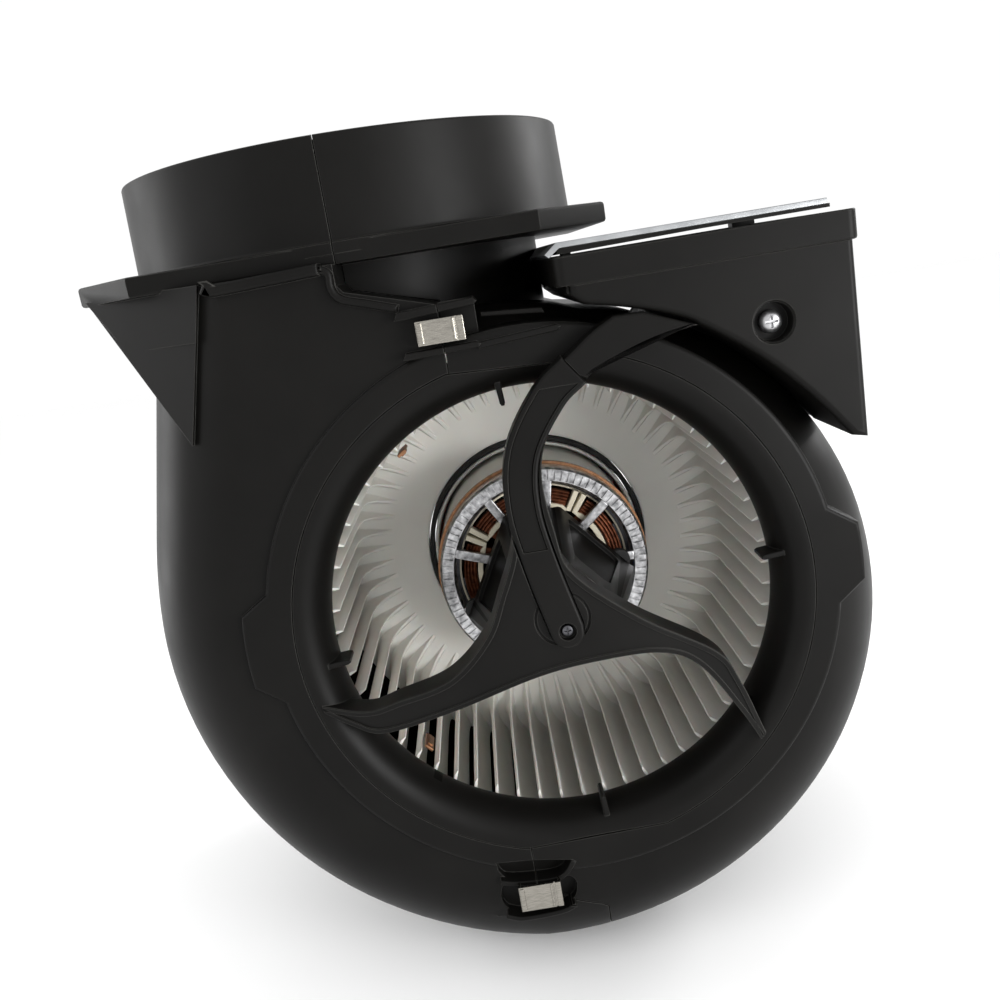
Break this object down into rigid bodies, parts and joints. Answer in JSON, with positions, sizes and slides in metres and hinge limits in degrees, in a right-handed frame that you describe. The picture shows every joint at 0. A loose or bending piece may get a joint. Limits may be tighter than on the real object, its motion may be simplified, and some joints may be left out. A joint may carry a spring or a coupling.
{
  "type": "extractor hood blower",
  "caption": "Double-inlet centrifugal blower: black scroll casing with a round outlet collar, curved motor bracket, white bladed wheel and a terminal box.",
  "frame": {"origin": "the outlet collar's axis at the top face of the mounting flange", "axes": "+Z along the outlet, the way the air leaves; the fan turns about an axis along Y; the motor bracket and terminal box face -Y; the terminal box is on the +X side"},
  "size_m": [0.2318, 0.1916, 0.2703],
  "materials": {
    "casing": "satin moulded, fine grain",
    "wheel": "satin off-white",
    "rubber": "matt",
    "zinc": "galvanised sheet",
    "nickel": "nickel-plated spring steel",
    "steel": "laminated and machined steel",
    "cast": "die-cast",
    "copper": "enamelled copper winding",
    "cream": "cream insulation"
  },
  "bodies": {
    "housing": {"casing_left_shell": "casing", "casing_right_shell": "casing", "front_motor_bracket": "casing", "rear_inlet_ring": "casing", "cable_duct": "casing", "cable_duct_strip": "casing", "cable_duct_cover": "casing", "hub_screw": "steel", "motor_lead": "rubber", "terminal_box": "casing", "terminal_box_lid": "zinc", "terminal_box_screw": "steel", "run_capacitor": "wheel", "terminal_block": "cream", "top_front_clip": "nickel", "top_rear_clip": "nickel", "bottom_front_clip": "nickel", "bottom_rear_clip": "nickel", "stator_core": "steel", "stator_coil_1": "copper", "stator_coil_2": "copper", "stator_coil_3": "copper", "stator_coil_4": "copper", "slot_insulator": "cream", "motor_front_shield": "cast", "motor_rear_shield": "cast", "front_bearing": "steel", "rear_bearing": "steel", "motor_mount_pad_1": "rubber", "motor_mount_pad_2": "rubber", "motor_mount_bush": "rubber"},
    "impeller": {"wheel_front_half": "wheel", "wheel_rear_half": "wheel", "wheel_hub_cup": "wheel", "wheel_damper_ring": "rubber", "fan_shaft": "steel", "rotor": "steel", "balance_clip_1": "nickel", "balance_clip_2": "nickel"}
  },
  "joints": [
    {"name": "wheel_spin", "type": "hinge", "parent": "housing", "child": "impeller", "pos_m": [0.046, 0, -0.116], "axis": [0, 1, 0], "continuous": true}
  ]
}
